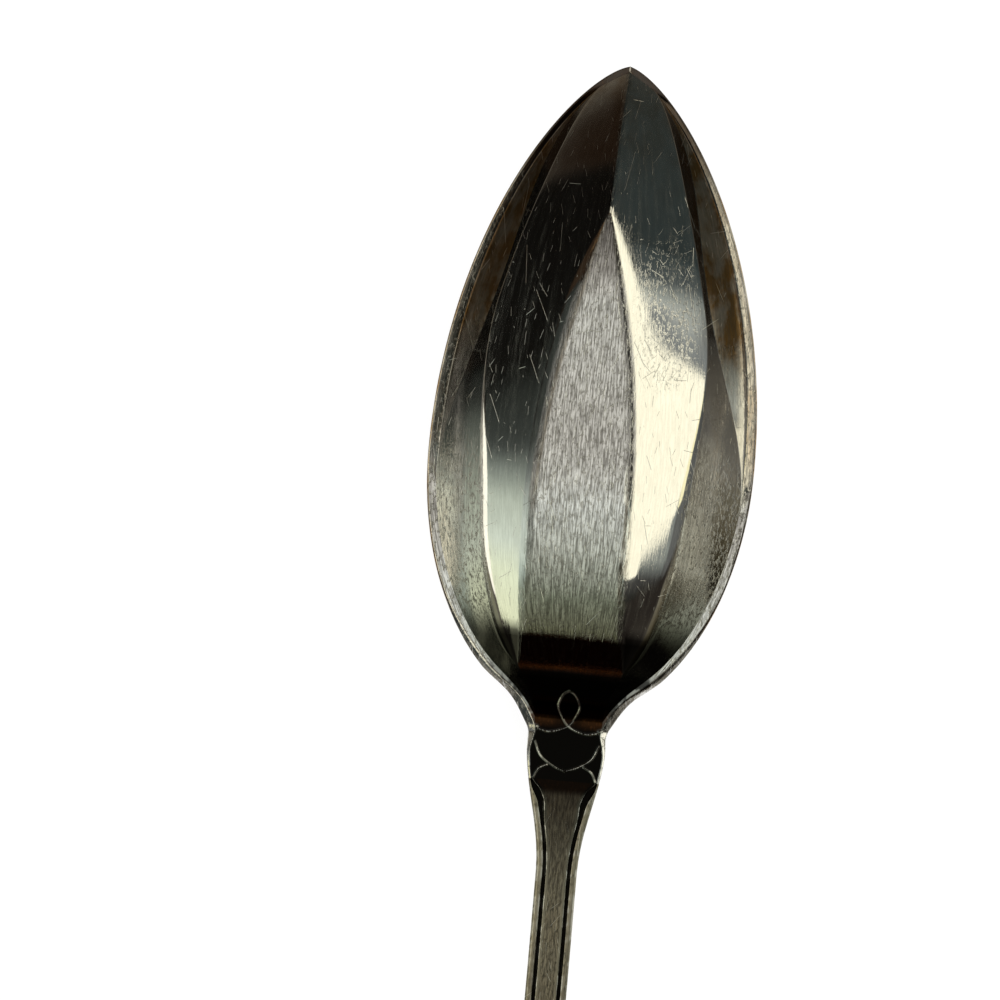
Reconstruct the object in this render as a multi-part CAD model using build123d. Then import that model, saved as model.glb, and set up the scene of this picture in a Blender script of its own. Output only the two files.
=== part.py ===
from build123d import *

import os
from math import cos, pi, radians, sin, sqrt

# Grapefruit spoon: one stamped and plated piece, with a pointed bowl of flat panels and a threaded stem.
# It lies along Y with the tip of the bowl at +Y and the hollow up, and stands on the flat under the bowl.
# X = 0 is its mid-plane, Z = 0 the table, Y = 0 the middle of its length.
# Distances along the spoon, called s, run from the tip. All sizes are in millimetres.

# Overall
LENGTH = 150.0
RIM_HEIGHT = 7.1  # the flat rim above the table

# Bowl seen from above
BOWL_LENGTH = 53.6  # tip to the back of the bowl's oval
BOWL_WIDTH = 27.0
WIDEST = 32.4  # tip to the widest place
LEAF_POWER = 0.7  # lower makes the tip blunter
RIM_TIP = 0.45  # width of the flat rim at the tip
RIM_SIDE = 0.78  # and at the sides
RIM_BACK = 1.15  # and at the shoulders and the neck

# Panels of the hollow, as rise per sideways millimetre
FLOOR_SLOPE = 0.40  # the two panels beside the middle one
WALL_SLOPE = 1.05  # the side walls
FRONT_SLOPE = 1.45  # the steeper front walls beside the tip
FRONT_LENGTH = 36.7  # tip to the place where the front walls run out
FRONT_CUT = 0.84  # how far the front walls cut the side walls back
FRONT_CLEAR = 0.1  # behind that place they leave the rim outwards, as a share of the distance

# Middle panel and floor
APEX = 11.2  # tip to the point of the middle panel, which ends in a keel
MIDDLE_FULL = 37.2  # tip to the place where the middle panel is at full width
MIDDLE_WIDTH = 8.8
FLAT_START = 19.0  # the floor is level from here
FLAT_LENGTH = 11.0
RAMP_POWER = 3.0  # higher keeps the floor low for longer before it climbs to the neck
RAMP_EASE = 1.6  # higher makes it meet the top of the neck more softly
RAMP_OVERRUN = 1.02  # the ramp crosses the top of the neck at this share of its climb
RAMP_END = 0.8  # the whole climb ends this far behind the oval
FLOOR_METAL = 1.0  # thickness under the floor
TIP_METAL = 0.7  # and at the tip
HEEL_LAG = 9.0  # the underside stays level this much longer than the floor

# Neck, stem and handle end
NECK_WIDTH = 6.7
NECK_METAL = 2.7
NECK_ANGLE = radians(12.0)  # climb of the top of the neck
NECK_SHIFT = 0.4  # behind the oval, where the rim's lift ends and the handle's arch starts
LIFT_LENGTH = 16.0  # the rim curves up to that climb over this length
FLARE = ((-1.6, 1.75), (0.3, 0.45))  # shoulder: distance behind the oval, width beyond the neck's side
FLARE_LEAD = 2.0  # the shoulder's curve leaves the oval this far before its first point
NECK_LENGTH = 1.0  # the neck is parallel over this length
NECK_TAPER = 11.0
NECK_BACK = 3.0  # the neck has its full thickness this far behind the rim's lift
STEM_WIDTH = 3.45
SWELL_START = 78.0  # the handle widens from here
END_WIDTH = 13.0
END_ROUND = 14.0  # length of the rounded end
END_METAL = 1.7

# Edges
EDGE_SLOPE = 4.0  # the sides stand nearly upright, and then the back slopes in
RIM_EDGE = 0.3  # height of the upright edge round the bowl
STEM_EDGE = 1.4  # and along the stem and handle
BEVEL_SLOPE = 0.6  # the ground bevel on the top edges
RIM_BEVEL = 0.15  # its width round the bowl
SHOULDER_BEVEL = 0.85  # and at the shoulders
STEM_BEVEL = 0.22  # and along the stem and handle
SHOULDER_START = 42.0  # tip to where the bevel starts to widen
SHOULDER_END = 57.0  # and to where it is narrow again

# Threaded border of the stem
THREAD_START = 5.1  # behind the oval
THREAD_LEAD = 2.6  # the groove comes in from the edge over this length
THREAD_NARROW = 0.3  # share of the border and groove at the groove's start
BORDER = 0.56  # strip outside the groove
GROOVE_WIDTH = 0.38
GROOVE_DEPTH = 0.25

# Where the named regions meet
BOWL_END = 0.6  # behind the oval
NECK_END = 5.0  # behind the oval

FAR = 4.0 * LENGTH  # clear of everything
REACH = BOWL_WIDTH  # sideways reach of a panel before it is cut
TURNS = 14  # points on a formula's curve


def rise(distance, radius):
    """Height of an arc above its level point."""
    return radius - sqrt(radius**2 - distance**2)


def radius_through(distance, height):
    """Radius of the arc that leaves level and climbs that height over that distance."""
    return (distance**2 + height**2) / (2.0 * height)


def swell(start, end, share):
    """Smooth step from start to end as share goes from 0 to 1."""
    return start + (end - start) * (1.0 - cos(pi * min(max(share, 0.0), 1.0))) / 2.0


def stations(start, end, count=TURNS):
    """Distances from start to end, closer together at both."""
    return [swell(start, end, i / count) for i in range(count + 1)]


def arch_radius(start, end, angle):
    """Radius of the downward arc that leaves start at that climb and passes through end."""
    run = end[0] - start[0]
    climb = end[1] - start[1]
    return (run**2 + climb**2) / (2.0 * (run * sin(angle) - climb * cos(angle)))


# Top line of the spoon: the level rim, its lift into the neck, and the arch of the handle
neck = BOWL_LENGTH + NECK_SHIFT
lift_start = neck - LIFT_LENGTH
lift_radius = LIFT_LENGTH / sin(NECK_ANGLE)
neck_top = RIM_HEIGHT + rise(LIFT_LENGTH, lift_radius)
arch = arch_radius((neck, neck_top), (LENGTH, END_METAL), NECK_ANGLE)
crest = neck + arch * sin(NECK_ANGLE)
crest_top = neck_top + rise(crest - neck, arch)


def top(s):
    """Height of the top line."""
    if s <= lift_start:
        return RIM_HEIGHT
    if s <= neck:
        return RIM_HEIGHT + rise(s - lift_start, lift_radius)
    return crest_top - rise(s - crest, arch)


# Floor of the hollow and the underside: level in the middle, curving up to the tip and to the neck
def middle_half_width(s):
    """Half width of the middle panel, negative in front of its point."""
    share = (s - APEX) / (MIDDLE_FULL - APEX)
    return MIDDLE_WIDTH / 2.0 * (1.0 - max(1.0 - share, 0.0) ** 2)


def front_radius(tip, keel_height, level):
    """Radius of the floor's front curve, which puts the keel at that height at the tip."""
    floor_height = keel_height + FLOOR_SLOPE * middle_half_width(tip)
    return radius_through(FLAT_START - tip, floor_height - level)


flat_end = FLAT_START + FLAT_LENGTH
ramp_end = BOWL_LENGTH + RAMP_END
hollow_front = front_radius(RIM_TIP, RIM_HEIGHT, FLOOR_METAL)
under_front = front_radius(0.0, RIM_HEIGHT - TIP_METAL, 0.0)
heel = flat_end + HEEL_LAG
under_neck = neck + NECK_BACK
under_neck_height = top(under_neck) - NECK_METAL


def hollow_floor(s):
    """Height of the middle panel of the hollow."""
    if s < FLAT_START:
        return FLOOR_METAL + rise(FLAT_START - s, hollow_front)
    if s < flat_end:
        return FLOOR_METAL
    share = min((s - flat_end) / (ramp_end - flat_end), 1.0)
    climb = RAMP_OVERRUN * (1.0 - (1.0 - share**RAMP_POWER) ** RAMP_EASE)
    return FLOOR_METAL + climb * (top(s) - FLOOR_METAL)


def underside(s):
    """Height of the spoon's back on its mid-plane, as far as the neck."""
    if s < FLAT_START:
        return rise(FLAT_START - s, under_front)
    if s < heel:
        return 0.0
    run = under_neck - heel
    share = (s - heel) / run
    climb = sin(NECK_ANGLE) / cos(NECK_ANGLE)
    return under_neck_height * share**2 * (3.0 - 2.0 * share) - run * climb * share**2 * (1.0 - share)


# Outlines seen from above
def bowl_half_width(s, tip, side, back):
    """Half width of a leaf that starts at tip, is widest at the bowl's widest place and ends at back."""
    if s < WIDEST:
        share = (WIDEST - s) / (WIDEST - tip)
        return side * max(1.0 - share**2, 0.0) ** LEAF_POWER
    share = (s - WIDEST) / (back - WIDEST)
    return side * sqrt(max(1.0 - share**2, 0.0))


def handle_half_width(s, inset=0.0):
    """Half width of the neck, stem and rounded end, inset all round."""
    taper_start = neck + NECK_LENGTH
    swell_end = LENGTH - END_ROUND
    width = swell(NECK_WIDTH, STEM_WIDTH, (s - taper_start) / NECK_TAPER)
    width += swell(0.0, END_WIDTH - STEM_WIDTH, (s - SWELL_START) / (swell_end - SWELL_START))
    share = max(s - swell_end, 0.0) / (END_ROUND - inset)
    return (width / 2.0 - inset) * sqrt(max(1.0 - share**2, 0.0))


def front_cut(s):
    """Distance that the front walls cut the side walls back at that place."""
    if s > FRONT_LENGTH:
        return 0.0
    return FRONT_CUT * sin(pi * s / FRONT_LENGTH) ** 2


def front_gap(s):
    """Distance that the front walls stand outside the rim, behind the place where they run out."""
    return FRONT_CLEAR * max(s - FRONT_LENGTH, 0.0)


oval_end = BOWL_LENGTH + FLARE[0][0] - FLARE_LEAD


def bowl_outline(tip, rim_side, rim_back):
    """Points of the bowl's outline as far as the neck, inset by the rim's width."""
    side = BOWL_WIDTH / 2.0 - rim_side
    back = BOWL_LENGTH - rim_back
    places = stations(tip, WIDEST) + stations(WIDEST, oval_end, TURNS // 2)[1:]
    points = [(s, bowl_half_width(s, tip, side, back)) for s in places]
    return points + [(BOWL_LENGTH + behind, NECK_WIDTH / 2.0 + out - rim_back) for behind, out in FLARE]


outline = bowl_outline(0.0, 0.0, 0.0)
outline += [(s, handle_half_width(s)) for s in stations(neck + NECK_LENGTH, LENGTH, 2 * TURNS)]
hollow = bowl_outline(RIM_TIP, RIM_SIDE, RIM_BACK)
hollow.append((neck + NECK_LENGTH, NECK_WIDTH / 2.0 - RIM_BACK))


def place(s, height):
    """Point on the mid-plane."""
    return Vector(0.0, LENGTH / 2.0 - s, height)


def curve(height, distances):
    """Side view of a height formula."""
    return Spline(*[place(s, height(s)) for s in distances])


def cut_along(line, level, slope):
    """Solid between a side-view line and a far level, drawn across the spoon at a slope."""
    first = line[0] @ 0
    last = line[-1] @ 1
    frame = Polyline(last, Vector(0.0, last.Y, level), Vector(0.0, first.Y, level), first)
    face = make_face([*line, *frame.edges()])
    start = Pos(-REACH, 0.0, -REACH * slope) * face
    return extrude(start, amount=2.0 * REACH * sqrt(1.0 + slope**2), dir=(1.0, 0.0, slope))


def above(line, slope=0.0):
    """Everything above a panel."""
    return cut_along(line, FAR, slope)


def below(line, slope=0.0):
    """Everything below a panel."""
    return cut_along(line, -FAR, slope)


def floor_panels(floor, end):
    """Side view of the sloping panels that leave the middle panel's edges."""
    return [curve(lambda s: floor(s) - FLOOR_SLOPE * middle_half_width(s), stations(0.0, end, 2 * TURNS))]


def wall(points, slope, beyond=lambda s: 0.0):
    """Side view of a wall of that slope whose top edge follows points, or stands beyond them."""
    return [Spline(*[place(s, top(s) - slope * (half + beyond(s))) for s, half in points])]


def level_floor(floor, start, end, level_end):
    """Side view of a floor that is level from the start of the flat to level_end."""
    return [
        curve(floor, stations(start, FLAT_START, TURNS)),
        Line(place(FLAT_START, floor(FLAT_START)), place(level_end, floor(level_end))),
        curve(floor, stations(level_end, end, TURNS)),
    ]


def top_line(drop=0.0):
    """Side view of the top of the spoon, lowered by drop."""
    def at(s):
        return place(s, top(s) - drop)

    lift_middle = (lift_start + neck) / 2.0
    arch_middle = (neck + LENGTH) / 2.0
    return [
        Line(at(0.0), at(lift_start)),
        ThreePointArc(at(lift_start), at(lift_middle), at(neck)),
        ThreePointArc(at(neck), at(arch_middle), at(LENGTH)),
    ]


def back_line():
    """Side view of the spoon's back: the underside of the bowl and neck, and the arch of the handle."""
    end = place(LENGTH, 0.0)
    start = place(under_neck, under_neck_height)
    climb = Vector(0.0, -cos(NECK_ANGLE), sin(NECK_ANGLE))
    return level_floor(underside, 0.0, under_neck, heel) + [TangentArc(start, end, tangent=climb)]


def both_sides(solid, line, slope, keep=above):
    """Cut the solid by a panel and by its mirror image."""
    return solid & keep(line, slope) & keep(line, -slope)


def edge_height(s):
    """Height of the upright edge, from the rim to the stem."""
    return swell(RIM_EDGE, STEM_EDGE, (s - oval_end) / NECK_TAPER)


def bevel_width(s):
    """Width of the bevel on the top edge."""
    if s < BOWL_LENGTH:
        return swell(RIM_BEVEL, SHOULDER_BEVEL, (s - SHOULDER_START) / (BOWL_LENGTH - SHOULDER_START))
    return swell(SHOULDER_BEVEL, STEM_BEVEL, (s - BOWL_LENGTH) / (SHOULDER_END - BOWL_LENGTH))


def make_blank():
    """The spoon without its hollow and grooves."""
    spread = 1.0 / WALL_SLOPE - 1.0 / EDGE_SLOPE
    panels = floor_panels(underside, under_neck)
    panels.append(Line(panels[0] @ 1, place(LENGTH, -END_WIDTH)))
    walls = wall(outline, WALL_SLOPE, lambda s: front_cut(s) + edge_height(s) * spread)
    bevels = wall(outline, -BEVEL_SLOPE, lambda s: -bevel_width(s))
    blank = above(back_line()) & below(top_line())
    blank = both_sides(blank, panels, FLOOR_SLOPE)
    blank = both_sides(blank, walls, WALL_SLOPE)
    blank = both_sides(blank, wall(outline, EDGE_SLOPE), EDGE_SLOPE)
    return both_sides(blank, bevels, BEVEL_SLOPE, below)


def make_hollow():
    """The space inside the bowl."""
    end = neck + NECK_LENGTH
    space = above(level_floor(hollow_floor, 0.0, end, flat_end))
    space = both_sides(space, floor_panels(hollow_floor, end), FLOOR_SLOPE)
    space = both_sides(space, wall(hollow, WALL_SLOPE, front_cut), WALL_SLOPE)
    return both_sides(space, wall(hollow, FRONT_SLOPE, front_gap), FRONT_SLOPE)


def thread_face(width):
    """Area of the stem and handle inside the border strip and a groove of that width, seen from above."""
    start = BOWL_LENGTH + THREAD_START

    def inset(s):
        return (BORDER + width) * swell(THREAD_NARROW, 1.0, (s - start) / THREAD_LEAD)

    # Rounded, so that the last point lies on the mid-plane
    side = [
        (round(handle_half_width(s, inset(s)), 5), LENGTH / 2.0 - s)
        for s in stations(start, LENGTH - BORDER - width, 2 * TURNS)
    ]
    right = Spline(*side)
    return make_face([right, mirror(right, Plane.YZ), Line(right @ 0, mirror(right, Plane.YZ) @ 0)])


def make_thread():
    """The groove that frames the stem and handle."""
    ring = thread_face(0.0) - thread_face(GROOVE_WIDTH)
    return extrude(ring, amount=FAR) & above(top_line(GROOVE_DEPTH))


def cut_off(solid, s):
    """Part of the solid on the tip's side of a cut across it, and the rest."""
    across = Plane(origin=place(s, 0.0), z_dir=(0.0, 1.0, 0.0))
    return split(solid, across, keep=Keep.TOP), split(solid, across, keep=Keep.BOTTOM)


spoon = make_blank() - make_hollow() - make_thread()
bowl, shank = cut_off(spoon, BOWL_LENGTH + BOWL_END)
neck_piece, handle = cut_off(shank, BOWL_LENGTH + NECK_END)

os.makedirs("parts", exist_ok=True)
export_step(bowl, "parts/bowl.step")
export_step(neck_piece, "parts/neck.step")
export_step(handle, "parts/handle.step")
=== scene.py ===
import logging
from dataclasses import dataclass, field, replace
from enum import Enum
from functools import reduce
from math import cos, degrees, exp, pi, radians, sin, sqrt, tan
from typing import Sequence

import bmesh
import bpy
from mathutils import Matrix, Vector


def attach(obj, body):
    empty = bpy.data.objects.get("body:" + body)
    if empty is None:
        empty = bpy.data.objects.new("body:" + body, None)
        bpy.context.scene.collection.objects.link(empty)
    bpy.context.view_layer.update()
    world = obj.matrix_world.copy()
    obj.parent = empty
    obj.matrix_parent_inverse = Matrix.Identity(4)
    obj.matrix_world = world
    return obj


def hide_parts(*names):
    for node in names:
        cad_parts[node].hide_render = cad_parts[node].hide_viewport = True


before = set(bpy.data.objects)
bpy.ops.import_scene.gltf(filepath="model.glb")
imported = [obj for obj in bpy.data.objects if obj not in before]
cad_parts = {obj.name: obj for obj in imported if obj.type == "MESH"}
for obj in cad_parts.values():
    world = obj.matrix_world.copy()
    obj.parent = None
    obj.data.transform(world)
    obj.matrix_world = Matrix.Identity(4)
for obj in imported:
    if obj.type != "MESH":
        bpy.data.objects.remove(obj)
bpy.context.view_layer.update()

# A grapefruit spoon of plated silver: a pointed, panelled bowl, an engraved neck and a threaded
# handle. Sizes are in millimetres, and s is the distance along the spoon from its tip.
MM = 0.001
TINY = 1.0e-6
LOG = logging.getLogger("spoon")

Colour = tuple[float, float, float]


class Trait(Enum):
    """What a mesh carries as vertex attributes, for its finish to read.

    The lane is the place across the spoon as a share of its half width. The polishing streaks
    follow it.
    """

    TARNISH = "tarnish"
    # dark patina in the grooves, and painted shade on the neck, the hollow's back and the handle's
    # top
    PATINA_AND_SHADE = "patina_and_shade"
    WORN = "worn"
    PITS = "pits"
    BRUSH = "brush"
    LANE = "lane"


class PatchShape(Enum):
    """Outline of a bright or dark patch in the surroundings, as the power of its rounded box."""

    OVAL = 2.0
    BOX = 8.0


def swell(start: float, end: float, share: float) -> float:
    """Smooth step between two values.

    Args:
        start: Value at a share of 0 and below.
        end: Value at a share of 1 and above.
        share: Place between them.

    Returns:
        The value at that place.
    """
    return start + (end - start) * (1.0 - cos(pi * min(max(share, 0.0), 1.0))) / 2.0


def rise(distance: float, radius: float) -> float:
    """Height of an arc above its level point."""
    return radius - sqrt(radius**2 - distance**2)


def radius_through(distance: float, height: float) -> float:
    """Radius of the arc that leaves level and climbs that height over that distance."""
    return (distance**2 + height**2) / (2.0 * height)


def arch_radius(run: float, climb: float, angle: float) -> float:
    """Radius of the downward arc that leaves at that angle and passes that far along and up."""
    return (run**2 + climb**2) / (2.0 * (run * sin(angle) - climb * cos(angle)))


def evenly(start: float, end: float, step: float) -> list[float]:
    """Places from start to end, about a step apart.

    Args:
        start: First place.
        end: Last place.
        step: Wanted distance between neighbours.

    Returns:
        The places, with both ends.
    """
    count = max(round((end - start) / step), 1)
    return [start + (end - start) * i / count for i in range(count + 1)]


def through(
    knots: Sequence[tuple[float, float]], first_slope: float, last_slope: float, s: float
) -> float:
    """Height of a smooth curve through a few knots.

    Args:
        knots: Places and values, in order.
        first_slope: Slope of the curve at its first knot.
        last_slope: Slope at its last knot.
        s: Place on the curve.

    Returns:
        The curve's value there.
    """
    slopes = [first_slope]
    for before, after in zip(knots, knots[2:]):
        slopes.append((after[1] - before[1]) / (after[0] - before[0]))
    slopes.append(last_slope)
    span = next((i for i in range(len(knots) - 1) if s <= knots[i + 1][0]), len(knots) - 2)
    (start, low), (end, high) = knots[span], knots[span + 1]
    run = end - start
    t = min(max((s - start) / run, 0.0), 1.0)
    lift = low * (1.0 + 2.0 * t) * (1.0 - t) ** 2 + high * t**2 * (3.0 - 2.0 * t)
    return lift + run * (slopes[span] * t * (1.0 - t) ** 2 - slopes[span + 1] * t**2 * (1.0 - t))


@dataclass(frozen=True)
class Change:
    """A value that changes smoothly over a length of the spoon."""

    before: float
    after: float
    start: float
    length: float

    def at(self, s: float) -> float:
        """Value at a place."""
        return swell(self.before, self.after, (s - self.start) / self.length)


@dataclass(frozen=True)
class Panel:
    """A surface across the spoon: its height on the mid-plane and its rise per millimetre."""

    height: float
    slope: float

    def at(self, x: float) -> float:
        """Height of the panel at a place across the spoon."""
        return self.height + self.slope * x

    def meets(self, other: "Panel") -> float:
        """Place across the spoon where two panels cross."""
        return (self.height - other.height) / (other.slope - self.slope)


def highest(panels: Sequence[Panel], x: float, limit: float) -> float:
    """Height of the highest panel at a place across the spoon, cut off at a limit."""
    return min(max(panel.at(x) for panel in panels), limit)


def creases(panels: Sequence[Panel]) -> list[float]:
    """Places where the highest of some panels gives way to the next one.

    Args:
        panels: Panels in the order of their slopes.

    Returns:
        The start of every panel but the first. A hidden panel starts where the next one does.
    """
    visible: list[tuple[int, float]] = [(0, 0.0)]
    for index in range(1, len(panels)):
        start = 0.0
        while visible:
            last, last_start = visible[-1]
            start = panels[last].meets(panels[index])
            if start > last_start:
                break
            visible.pop()
        visible.append((index, max(start, 0.0) if visible else 0.0))
    starts = dict(visible)
    result: list[float] = []
    following = visible[-1][1]
    for index in range(len(panels) - 1, 0, -1):
        following = starts.get(index, following)
        result.append(following)
    return result[::-1]


@dataclass(frozen=True)
class Corner:
    """A corner of a cross-section, how far its rounding reaches, and how worn it is."""

    x: float
    z: float
    reach: float = 0.0
    worn: float = 0.0


@dataclass(frozen=True)
class Side:
    """A side of a cross-section: how finely it is divided, its wear and its painted shade."""

    steps: int
    tarnish: float = 0.0
    patina_and_shade: float = 0.0
    worn: float = 0.0
    pits: float = 0.0
    brush: float = 0.5

    def rubbed(self, worn: float) -> "Side":
        """The same side, at least that worn."""
        return replace(self, worn=max(self.worn, worn))


@dataclass
class Spot:
    """A point of a piece's skin, with its wear and painted shade."""

    x: float
    s: float
    z: float
    tarnish: float = 0.0
    patina_and_shade: float = 0.0
    worn: float = 0.0
    pits: float = 0.0
    brush: float = 0.5
    lane: float = 0.0

    def mirrored(self) -> "Spot":
        """The same point on the other side of the mid-plane."""
        return replace(self, x=-self.x)


ARC_STEPS = 5  # divisions of a rounded corner
ARC_SHARE = 0.42  # most of a side that its rounding may take


def soften(corners: Sequence[Corner], sides: Sequence[Side]) -> list[tuple[float, float, Side]]:
    """Cross-section through some corners, each rounded by a curve that touches both its sides.

    Args:
        corners: Corners in order.
        sides: Sides between them.

    Returns:
        Points of the section, each with the side that it belongs to.
    """
    places = [Vector((corner.x, corner.z)) for corner in corners]
    points = [(places[0].x, places[0].y, sides[0])]
    start = places[0]
    for i in range(1, len(places) - 1):
        before = places[i] - places[i - 1]
        after = places[i + 1] - places[i]
        reach = min(corners[i].reach, ARC_SHARE * before.length, ARC_SHARE * after.length)
        enter = places[i] - before.normalized() * reach
        leave = places[i] + after.normalized() * reach
        for k in range(1, sides[i - 1].steps + 1):
            point = start.lerp(enter, k / sides[i - 1].steps)
            points.append((point.x, point.y, sides[i - 1]))
        for k in range(1, ARC_STEPS + 1):
            t = k / ARC_STEPS
            point = enter.lerp(places[i], t).lerp(places[i].lerp(leave, t), t)
            side = sides[i - 1] if t < 0.5 else sides[i]
            points.append((point.x, point.y, side.rubbed(corners[i].worn)))
        start = leave
    for k in range(1, sides[-1].steps + 1):
        point = start.lerp(places[-1], k / sides[-1].steps)
        points.append((point.x, point.y, sides[-1]))
    return points


def spread(places: Sequence[float], end: float, gap: float) -> list[float]:
    """The places in order, each at least a gap from the next and from both ends.

    Args:
        places: Places across the spoon.
        end: Far end of the space that they share, which starts at 0.
        gap: Least distance between two of them.

    Returns:
        The places, moved as little as that needs.
    """
    result: list[float] = []
    low = gap
    for index, place in enumerate(places):
        high = end - gap * (len(places) - index)
        low = max(min(place, high), low)
        result.append(low)
        low += gap
    return result


@dataclass(frozen=True)
class SpoonForm:
    """Side view and outline of the whole spoon."""

    length: float = 150.0
    rim_height: float = 7.1
    bowl_length: float = 53.6
    bowl_width: float = 27.0
    widest: float = 32.4
    leaf_power: float = 0.7
    rim_tip: float = 0.45
    rim_side: float = 0.78
    rim_back: float = 1.15
    floor_slope: float = 0.40
    wall_slope: float = 1.05
    front_slope: float = 1.45
    front_length: float = 36.7
    front_cut: float = 0.84
    front_clear: float = 0.1
    apex: float = 11.2
    middle_full: float = 37.2
    middle_width: float = 8.8
    flat_start: float = 19.0
    flat_end: float = 30.0
    ramp_power: float = 3.0
    ramp_ease: float = 1.6
    ramp_overrun: float = 1.02
    ramp_end: float = 54.4
    floor_metal: float = 1.0
    tip_metal: float = 0.7
    heel: float = 39.0
    neck: float = 54.0
    neck_width: float = 6.7
    neck_metal: float = 2.7
    neck_angle: float = radians(12.0)
    lift_length: float = 16.0
    shoulder: tuple[tuple[float, float], ...] = ((52.0, 5.1), (53.9, 3.8))
    oval_end: float = 50.0
    slope_step: float = 0.01
    taper_start: float = 55.0
    neck_taper: float = 11.0
    under_neck: float = 57.0
    stem_width: float = 3.45
    swell_start: float = 78.0
    end_width: float = 13.0
    end_round: float = 14.0
    end_metal: float = 1.7
    edge_slope: float = 4.0
    rim_edge: float = 0.3
    stem_edge: float = 1.4
    bevel_slope: float = 0.6
    rim_bevel: float = 0.15
    shoulder_bevel: float = 0.85
    stem_bevel: float = 0.22
    shoulder_start: float = 42.0
    shoulder_end: float = 57.0
    # where the painted shade on the top rises and where it fades: the neck's top is painted near
    # black
    dark_start: tuple[float, float] = (48.9, 50.2)
    dark_end: tuple[float, float] = (59.2, 61.6)

    def place(self, spot: Spot) -> Vector:
        """Point of the scene at a point of the spoon's skin."""
        return Vector((spot.x, self.length / 2.0 - spot.s, spot.z)) * MM

    @property
    def swell_end(self) -> float:
        """Where the handle is widest and its rounded end starts."""
        return self.length - self.end_round

    def top(self, s: float) -> float:
        """Height of the level rim, of its lift into the neck and of the handle's arch.

        Args:
            s: Place along the spoon.

        Returns:
            The top's height.
        """
        lift_start = self.neck - self.lift_length
        lift_radius = self.lift_length / sin(self.neck_angle)
        if s <= lift_start:
            return self.rim_height
        if s <= self.neck:
            return self.rim_height + rise(s - lift_start, lift_radius)
        neck_top = self.rim_height + rise(self.lift_length, lift_radius)
        return self.arch(s, self.neck, neck_top, self.end_metal)

    def arch(self, s: float, start: float, height: float, end_height: float) -> float:
        """Height of an arch that leaves the neck at its climb and comes down to the handle's end.

        Args:
            s: Place along the spoon.
            start: Where the arch starts.
            height: Its height there.
            end_height: Its height at the handle's end.

        Returns:
            The arch's height.
        """
        radius = arch_radius(self.length - start, end_height - height, self.neck_angle)
        crest = start + radius * sin(self.neck_angle)
        return height + rise(crest - start, radius) - rise(s - crest, radius)

    def middle_half_width(self, s: float) -> float:
        """Half width of the hollow's middle panel, negative in front of its point."""
        share = (s - self.apex) / (self.middle_full - self.apex)
        return self.middle_width / 2.0 * (1.0 - max(1.0 - share, 0.0) ** 2)

    def front_rise(self, s: float, tip: float, keel_height: float, level: float) -> float:
        """Rise of a floor in front of its level part.

        Args:
            s: Place along the spoon.
            tip: Where the floor ends.
            keel_height: Height of its keel there.
            level: Height of its level part.

        Returns:
            The rise above the level part.
        """
        end_rise = keel_height + self.floor_slope * self.middle_half_width(tip) - level
        return rise(self.flat_start - s, radius_through(self.flat_start - tip, end_rise))

    def hollow_floor(self, s: float) -> float:
        """Height of the hollow's middle panel.

        Args:
            s: Place along the spoon.

        Returns:
            The height, which ends a little above the top.
        """
        if s < self.flat_start:
            start = max(s, self.rim_tip)
            lift = self.front_rise(start, self.rim_tip, self.rim_height, self.floor_metal)
            return self.floor_metal + lift
        share = min(max((s - self.flat_end) / (self.ramp_end - self.flat_end), 0.0), 1.0)
        climb = self.ramp_overrun * (1.0 - (1.0 - share**self.ramp_power) ** self.ramp_ease)
        return self.floor_metal + climb * (self.top(s) - self.floor_metal)

    def underside(self, s: float) -> float:
        """Height of the spoon's back on its mid-plane.

        Args:
            s: Place along the spoon.

        Returns:
            The back's height.
        """
        neck_height = self.top(self.under_neck) - self.neck_metal
        if s < self.flat_start:
            return self.front_rise(s, 0.0, self.rim_height - self.tip_metal, 0.0)
        if s < self.heel:
            return 0.0
        if s > self.under_neck:
            return self.arch(s, self.under_neck, neck_height, 0.0)
        run = self.under_neck - self.heel
        t = (s - self.heel) / run
        return neck_height * t**2 * (3.0 - 2.0 * t) - run * tan(self.neck_angle) * t**2 * (1.0 - t)

    def leaf(self, s: float, tip: float, side: float, back: float) -> float:
        """Half width of a leaf with its point at tip, widest at the bowl's widest place.

        Args:
            s: Place along the spoon.
            tip: Where the leaf starts.
            side: Its greatest half width.
            back: Where its oval would end.

        Returns:
            The half width.
        """
        if s < self.widest:
            share = (self.widest - s) / (self.widest - tip)
            return side * max(1.0 - share**2, 0.0) ** self.leaf_power
        share = (s - self.widest) / (back - self.widest)
        return side * sqrt(max(1.0 - share**2, 0.0))

    def blade_half_width(self, s: float, tip: float, rim_side: float, rim_back: float) -> float:
        """Half width of the bowl and its shoulders, inset by the rim.

        Args:
            s: Place along the spoon.
            tip: Where the outline starts.
            rim_side: Inset at the bowl's sides.
            rim_back: Inset at its back and at the shoulders.

        Returns:
            The half width, which the neck and stem carry on.
        """
        side = self.bowl_width / 2.0 - rim_side
        back = self.bowl_length - rim_back
        if s <= self.oval_end:
            return self.leaf(s, tip, side, back)
        if s >= self.taper_start:
            return self.stem_half_width(s) - rim_back
        start = self.leaf(self.oval_end, tip, side, back)
        before = self.leaf(self.oval_end - self.slope_step, tip, side, back)
        slope = (start - before) / self.slope_step
        knots = [(self.oval_end, start)]
        knots += [(place, half - rim_back) for place, half in self.shoulder]
        knots.append((self.taper_start, self.neck_width / 2.0 - rim_back))
        return through(knots, slope, 0.0, s)

    def half_width(self, s: float) -> float:
        """Half width of the spoon seen from above."""
        return self.blade_half_width(s, 0.0, 0.0, 0.0)

    def hollow_half_width(self, s: float) -> float:
        """Half width of the hollow at the rim."""
        start = max(s, self.rim_tip)
        return max(self.blade_half_width(start, self.rim_tip, self.rim_side, self.rim_back), 0.0)

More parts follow.
